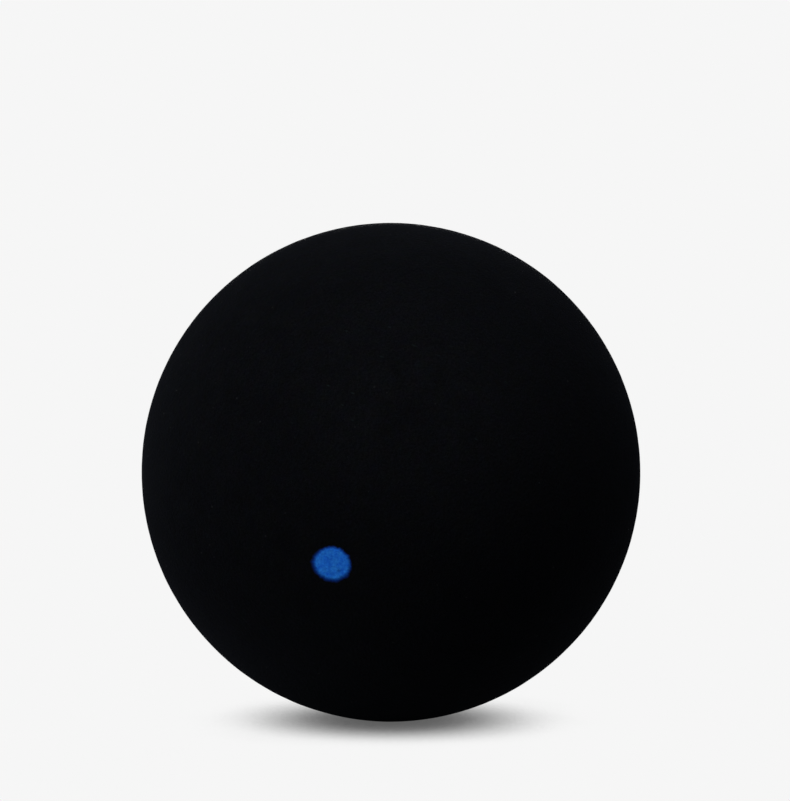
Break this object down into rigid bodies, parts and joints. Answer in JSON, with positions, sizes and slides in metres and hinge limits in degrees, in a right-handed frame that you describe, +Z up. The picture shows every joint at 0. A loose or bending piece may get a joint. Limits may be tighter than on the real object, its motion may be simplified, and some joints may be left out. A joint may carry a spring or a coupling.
{
  "type": "squash ball",
  "caption": "Hollow black rubber squash ball of half shells cemented at a seam, buffed matt, with a stamped blue paint dot.",
  "frame": {"origin": "centre of the ball", "axes": "+Z up through the top of the ball; -Y towards the front, the side with the blue dot; the seam lies in the XZ plane and the halves meet along it, so the Y axis runs through both poles"},
  "size_m": [0.04, 0.04, 0.04],
  "materials": {
    "buffed_rubber": "matt, buffed black rubber with a fine grain and pale specks of dust",
    "rubber_cement": "cured black rubber cement, smoother than the buffed rubber beside it",
    "blue_paint": "matt blue stamped paint, slightly mottled, with a thinner darker edge"
  },
  "bodies": {
    "root": {"front_half_shell": "buffed_rubber", "rear_half_shell": "buffed_rubber", "seam_bond": "rubber_cement", "paint_dot": "blue_paint"}
  },
  "joints": []
}
